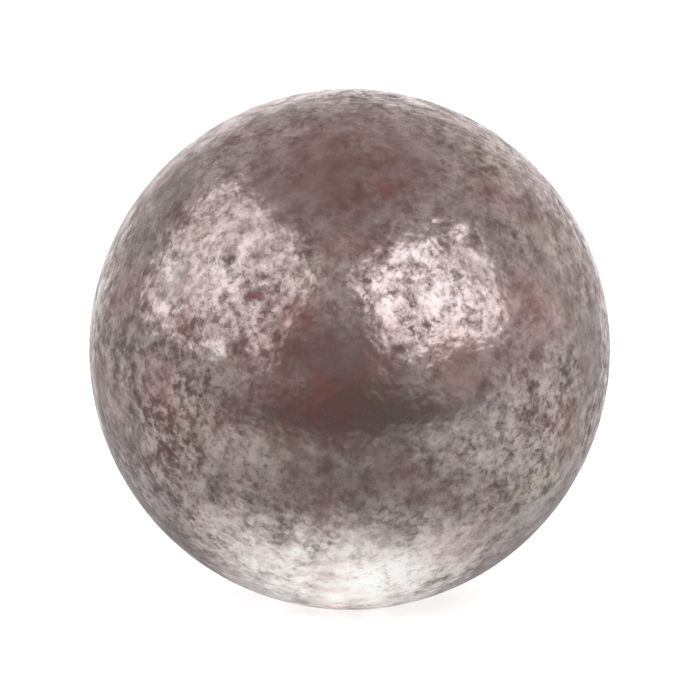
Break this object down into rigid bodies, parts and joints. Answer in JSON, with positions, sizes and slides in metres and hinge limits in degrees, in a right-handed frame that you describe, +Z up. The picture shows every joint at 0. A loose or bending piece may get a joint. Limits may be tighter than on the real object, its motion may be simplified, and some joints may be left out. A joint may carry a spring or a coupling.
{
  "type": "steel ball",
  "caption": "Solid round steel ball with a tumbled, tarnished surface, for seats, sockets, tracks and weights.",
  "frame": {"origin": "centre of the ball", "axes": "+Z up; the ball is the same about every axis through its centre"},
  "size_m": [0.0126, 0.0126, 0.0126],
  "materials": {
    "tarnished_steel": "tumbled bare steel with brown-mauve tarnish, small red-brown rust stains and bright worn specks"
  },
  "bodies": {
    "root": {"steel_ball": "tarnished_steel"}
  },
  "joints": []
}
